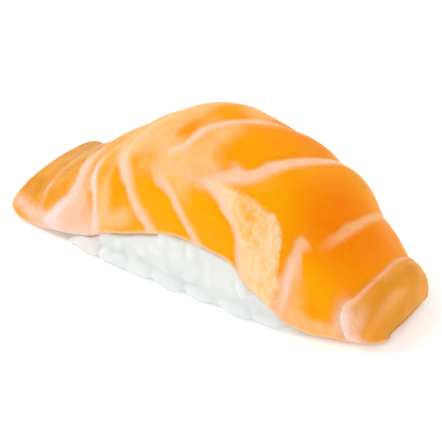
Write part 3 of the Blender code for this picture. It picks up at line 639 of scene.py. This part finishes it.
# ================================================================ rice
def block_rings(stations, top, side, inset):
    """Closed rings of the pressed block without its grains, drawn in by inset."""
    line = CentreLine()
    s0 = np.interp(RICE_START, line.c[:, 0], line.at)
    s1 = np.interp(RICE_END, line.c[:, 0], line.at)
    s = s0 + inset + (s1 - s0 - 2 * inset) * (0.35 * (0.5 - 0.5 * np.cos(np.linspace(0, math.pi, stations))) + 0.65 * np.linspace(0, 1, stations))
    x, z, slope = line(s)
    rings = []
    for i in range(stations):
        lean = LEAN * slope[i]
        down = np.array([math.sin(lean), -math.cos(lean)])
        t = (s[i] - s0) / (s1 - s0)
        end = min(t, 1 - t) * (s1 - s0)
        full = math.sqrt(max(1 - (1 - min(end / 5.5, 1)) ** 2, 0.09))
        floor = z[i] / math.cos(lean)
        power = float(graded(x[i], SQUARENESS))
        crown = float(graded(x[i], THICKNESS)) + GAP + 3.2 * (1 - full) + inset
        ring = []
        for sign, half, edge in ((-1, NEAR_HALF, NEAR_EDGE), (1, FAR_HALF, FAR_EDGE)):
            b = float(graded(x[i], half))
            drop = z[i] - float(graded(x[i], edge)) - (float(graded(x[i], EDGE_LIFT)) if sign < 0 else 0.0)
            under = drop + RIM - 0.22
            inside = (b - 1.85) * (0.55 + 0.45 * full)
            y, d, _ = half_section(inside, drop - 1.5, power, np.linspace(0, 1, top))
            d = crown + (drop - 0.2 - crown) * d / max(drop - 1.5, 1e-6)
            room = floor - under
            out_to = inside + smooth(0.3, 2.5, room) * 1.45
            rows = np.linspace(0, 1, side)
            q = under + 0.15 + (floor - under - 0.15) * rows
            tuck = 0.5 * rows ** 3 + (0.9 * smooth(-5, 4, x[i]) - 0.4) * rows ** 0.5 * (sign < 0)
            belly = inside + (out_to - inside) * smooth(-0.02, 0.07, rows) - tuck * smooth(0.5, 3.0, room)
            if room < 0.5:
                q = np.linspace(d[-1] + 0.3, max(floor, d[-1] + 0.6), side)
                belly = np.full(side, inside)
            yy = np.concatenate([y, belly]) - inset
            dd = np.concatenate([d, q])
            dd[-1] = floor
            pts = [(x[i] + b2 * down[0] - CENTRE_X, sign * a - CENTRE_Y, max(z[i] + b2 * down[1], 0.0)) for a, b2 in zip(yy, dd)]
            pts[-1] = (pts[-1][0], pts[-1][1], 0.0)
            ring += pts[::-1] if sign < 0 else pts[1:]
        rings.append(ring)
    return np.array(rings)


def grain(rng, long, wide, high, around=14, along=13):
    """One cooked short grain along X, round and a little bent: (points, faces)."""
    t = np.linspace(-math.pi / 2, math.pi / 2, along + 2)[1:-1]
    a = np.linspace(0, 2 * math.pi, around, endpoint=False)
    bend = rng.uniform(-0.25, 0.45)
    taper = rng.uniform(0.02, 0.16)
    twist = rng.uniform(0, 6)
    pts = [(-long / 2, 0, 0)]
    for k in t:
        u = math.sin(k)
        r = math.cos(k) ** 0.72 * (1 + taper * u)
        sway = bend * (u * u - 0.4)
        for q in a:
            lump = 1 + 0.045 * math.sin(2 * q + twist + 2.2 * u) + 0.03 * math.sin(5 * u + twist)
            pts.append((u * long / 2, wide / 2 * r * lump * math.cos(q), high / 2 * r * lump * math.sin(q) - sway))
    pts.append((long / 2, 0, 0))
    faces = []
    for j in range(around):
        faces.append((0, 1 + (j + 1) % around, 1 + j))
    for i in range(along - 1):
        for j in range(around):
            p, q = 1 + i * around + j, 1 + i * around + (j + 1) % around
            faces.append((p, q, q + around, p + around))
    last = 1 + (along - 1) * around
    for j in range(around):
        faces.append((last + j, last + (j + 1) % around, len(pts) - 1))
    return np.array(pts), faces


def turn_to(axis, normal):
    """Rotation whose x is along axis and z along normal."""
    zaxis = normal / np.linalg.norm(normal)
    xaxis = axis - zaxis * (axis @ zaxis)
    xaxis /= np.linalg.norm(xaxis)
    return np.stack([xaxis, np.cross(zaxis, xaxis), zaxis], -1)


def grains():
    rng = np.random.default_rng(20)
    skin = block_rings(120, 26, 26, 0.0)
    n, m = skin.shape[:2]
    du = np.gradient(skin, axis=0)
    dv = np.gradient(skin, axis=1)
    normal = np.cross(dv, du)
    area = np.linalg.norm(normal, axis=2)
    normal = normal / (area[..., None] + 1e-9)
    middle = skin.mean(axis=(0, 1))
    flip = np.sign(((skin - middle) * normal).sum(-1).mean())
    normal = normal * flip
    flat_idx = np.arange(n * m)
    pick_from = []
    # sides, a little way up beneath the slice, and both ends
    for i in range(n):
        for j in range(m):
            p = skin[i, j]
            side_on = abs(j - (m - 1) / 2) > 22
            end_on = i < 6 or i > n - 7
            if side_on or end_on:
                pick_from.append(i * m + j)
    pick_from = np.array(pick_from)
    weight = area.reshape(-1)[pick_from] + 0.01
    order = rng.choice(pick_from, size=min(len(pick_from), 2600), replace=False, p=weight / weight.sum())
    P, Nn = skin.reshape(-1, 3), normal.reshape(-1, 3)
    placed = []
    # the stray grain at the near corner and the lowest row of the near side: (x, y, turn)
    for gx, gy, gt, gl in ROW:
        placed.append((np.array([gx, gy, 1.5]), np.array([math.cos(math.radians(gt)), math.sin(math.radians(gt)), 0.03]), np.array([0.0, -0.25, 1.0]), gl))
    sites = [p[0] for p in placed]
    for idx in order:
        p, nn = P[idx], Nn[idx]
        c = p - nn * (GRAIN_HIGH * 0.42)
        c[2] = max(c[2], 1.0)
        if min((np.linalg.norm(c - q) for q in sites), default=9) < 2.75:
            continue
        base = np.array([1.0, 0, 0]) if rng.uniform() < 0.6 else np.array([0.35, 0.1, 1.0])
        axis = base + rng.normal(0, 0.55, 3)
        axis = axis - nn * (axis @ nn) * 0.85
        placed.append((c, axis, nn + rng.normal(0, 0.15, 3), GRAIN_LONG * rng.uniform(0.82, 1.05)))
        sites.append(c)
    allp, allf, ids, base = [], [], [], 0
    for k, (c, axis, nn, long) in enumerate(placed):
        stout = 1.22 if k < len(ROW) else 1.0
        pts, fs = grain(rng, long, GRAIN_WIDE * stout * rng.uniform(0.9, 1.06), GRAIN_HIGH * stout * rng.uniform(0.9, 1.05))
        pts = pts @ turn_to(axis, nn).T + c
        # pressed flat on the table
        low = pts[:, 2] < 0.35
        pts[low, 2] = 0.35 - 0.33 * np.tanh((0.35 - pts[low, 2]) / 0.9)
        allp.append(pts)
        allf += [tuple(v + base for v in f) for f in fs]
        ids.append(np.full(len(pts), k))
        base += len(pts)
    return np.concatenate(allp), allf, np.concatenate(ids), len(placed)


ROW = [(-20.0, -13.3, -4, 6.2), (-14.9, -13.1, 70, 4.9), (-11.9, -13.8, 60, 4.9), (-8.0, -13.6, 8, 6.2), (-1.6, -13.4, 4, 6.8),
       (4.9, -12.9, 2, 6.8), (12.6, -12.7, -2, 7.4), (18.9, -11.7, 8, 6.8)]
pts, fcs, ids, count = grains()
core = block_rings(110, 20, 14, 0.10)
cn, cm = core.shape[:2]
bump_c = 0.25 * cloud(core[..., 0] / 2.4, core[..., 2] / 2.4 + core[..., 1] / 2.4, 77)
centre = np.array([core[..., 0].mean(), 0, 8.0])
core[..., 1] += bump_c * np.sign(core[..., 1])
core[..., 2] = np.maximum(core[..., 2] + 0.02, 0.02)
cf = []
for i in range(cn - 1):
    for j in range(cm):
        k = (j + 1) % cm
        cf.append((i * cm + j, (i + 1) * cm + j, (i + 1) * cm + k, i * cm + k))
cf.append(tuple(range(cm))[::-1])
cf.append(tuple((cn - 1) * cm + q for q in range(cm)))
rng = np.random.default_rng(4)
tone = rng.uniform(0, 1, count)
loose = make_object("loose", np.concatenate([core.reshape(-1, 3), pts]), cf + [tuple(v + cn * cm for v in f) for f in fcs])
# cooked grains stick together: one skin over the core and all grains, soft in its creases
fuse = loose.modifiers.new("fuse", "REMESH")
fuse.mode = "VOXEL"
fuse.voxel_size = 0.27 * MM
soft = loose.modifiers.new("soft", "SMOOTH")
soft.factor = 0.5
soft.iterations = 8
bpy.context.view_layer.update()
fused = bpy.data.meshes.new_from_object(loose.evaluated_get(bpy.context.evaluated_depsgraph_get()))
co = np.zeros(len(fused.vertices) * 3)
fused.vertices.foreach_get("co", co)
co = np.clip(co.reshape(-1, 3) / MM, np.array(CAD_LO) / MM + 0.01, np.array(CAD_HI) / MM - 0.01)
fused.vertices.foreach_set("co", (co * MM).ravel())
fused.update()
fused.name = "rice_grains"
fused.shade_smooth()
rice = bpy.data.objects.new("rice_grains", fused)
scene_objects = bpy.context.scene.collection.objects
scene_objects.link(rice)
bpy.data.objects.remove(loose, do_unlink=True)
tree = KDTree(len(pts))
for k, v in enumerate(pts):
    tree.insert(v, k)
tree.balance()
found = [tree.find(v) for v in co]
put(rice.data, "grain", [tone[ids[f[1]]] for f in found])
put(rice.data, "crease", [min(f[2], 1.5) for f in found])
put(rice.data, "blush", np.exp(-((co[:, 0] + 19.8) ** 2 + (co[:, 1] + 13.0) ** 2) / 3.2 ** 2))
# painted shade: the rice turns bluish-grey towards the table, where less light falls
put(rice.data, "low", smooth(9, 0, co[:, 2]))

R = Nodes("cooked_rice")
G = R.attribute("grain")
pos = R.new("ShaderNodeTexCoord").outputs["Object"]
r1 = R.noise(pos, 260, 3, 0.5)
r2 = R.noise(pos, 1400, 2, 0.5)
rc = R.mix(R.math("MULTIPLY", G, 0.7), srgb(232, 235, 231), srgb(226, 230, 228))
# painted shade: mottled bluish-grey towards the bottom
rc = R.mix(R.math("MULTIPLY", R.ramp(r1, 0.35, 0.75, (0.2, 0.8)), R.attribute("low")), rc, srgb(219, 227, 230))
rc = R.mix(R.math("MULTIPLY", R.attribute("blush"), 0.8), rc, srgb(240, 226, 224))
R.link(rc, R.bsdf.inputs["Base Color"])
R.link(R.ramp(r1, 0.3, 0.7, (0.36, 0.5), False), R.bsdf.inputs["Roughness"])
R.bsdf.inputs["Subsurface Weight"].default_value = 0.6
R.bsdf.inputs["Subsurface Radius"].default_value = (1.0, 1.0, 0.95)
R.bsdf.inputs["Subsurface Scale"].default_value = 0.0028
R.bsdf.inputs["IOR"].default_value = 1.38
R.bsdf.inputs["Specular IOR Level"].default_value = 0.3
rb = R.new("ShaderNodeBump")
rb.inputs["Strength"].default_value = 0.35
rb.inputs["Distance"].default_value = 0.0001
R.link(r2, rb.inputs["Height"])
R.link(rb.outputs["Normal"], R.bsdf.inputs["Normal"])
for piece in (rice,):
    piece.data.materials.append(R.mat)
    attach(piece, "root")
    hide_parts("rice")

# ================================================================ floor, light, camera
mesh = bpy.data.meshes.new("floor")
mesh.from_pydata([(-3, -3, 0), (3, -3, 0), (3, 3, 0), (-3, 3, 0)], [], [(0, 1, 2, 3)])
floor = bpy.data.objects.new("floor", mesh)
bpy.context.scene.collection.objects.link(floor)
K = Nodes("floor_white")
kp = K.new("ShaderNodeTexCoord").outputs["Object"]
K.link(K.mix(K.noise(kp, 4.0, 2, 0.5), (0.93, 0.93, 0.92), (0.95, 0.95, 0.94)), K.bsdf.inputs["Base Color"])
K.bsdf.inputs["Roughness"].default_value = 0.9
K.bsdf.inputs["Specular IOR Level"].default_value = 0.0
K.bsdf.inputs["Emission Color"].default_value = (1, 1, 1, 1)
K.bsdf.inputs["Emission Strength"].default_value = 0.22
mesh.materials.append(K.mat)

world = bpy.data.worlds.new("studio")
bpy.context.scene.world = world
world.use_nodes = True
world.node_tree.nodes["Background"].inputs["Color"].default_value = (1.0, 1.0, 1.0, 1)
world.node_tree.nodes["Background"].inputs["Strength"].default_value = 0.76


def area(name, where, at, size, power, colour=(1, 1, 1)):
    light = bpy.data.lights.new(name, "AREA")
    light.shape = "DISK"
    light.size = size
    light.energy = power
    light.color = colour
    obj = bpy.data.objects.new(name, light)
    bpy.context.scene.collection.objects.link(obj)
    obj.location = where
    obj.rotation_euler = (Vector(at) - Vector(where)).to_track_quat("-Z", "Y").to_euler()
    return obj


area("key", (-0.40, -0.20, 0.52), (0, 0, 0.01), 0.34, 1.45)
area("fill", (0.45, -0.30, 0.22), (0, 0, 0.01), 0.3, 0.22)
area("back", (0.10, 0.50, 0.40), (0, 0, 0.01), 0.3, 0.5)

scene = bpy.context.scene
scene.view_settings.view_transform = "Standard"
scene.view_settings.look = "None"
az, el = math.radians(37), math.radians(34)
right = Vector((math.cos(az), math.sin(az), 0))
up = Vector((-math.sin(az) * math.sin(el), math.cos(az) * math.sin(el), math.cos(el)))
ahead = Vector((-math.sin(az) * math.cos(el), math.cos(az) * math.cos(el), -math.sin(el)))
aim = right * 0.54 * MM + up * 6.1 * MM + Vector((-CENTRE_X * MM, -CENTRE_Y * MM, 0))
cam = bpy.data.objects.new("camera", bpy.data.cameras.new("camera"))
scene.collection.objects.link(cam)
cam.location = aim - ahead * 0.45
cam.rotation_euler = Matrix((right, up, -ahead)).transposed().to_euler()
cam.data.sensor_width = 36
cam.data.lens = 203.8
cam.data.clip_start = 0.01
scene.camera = cam
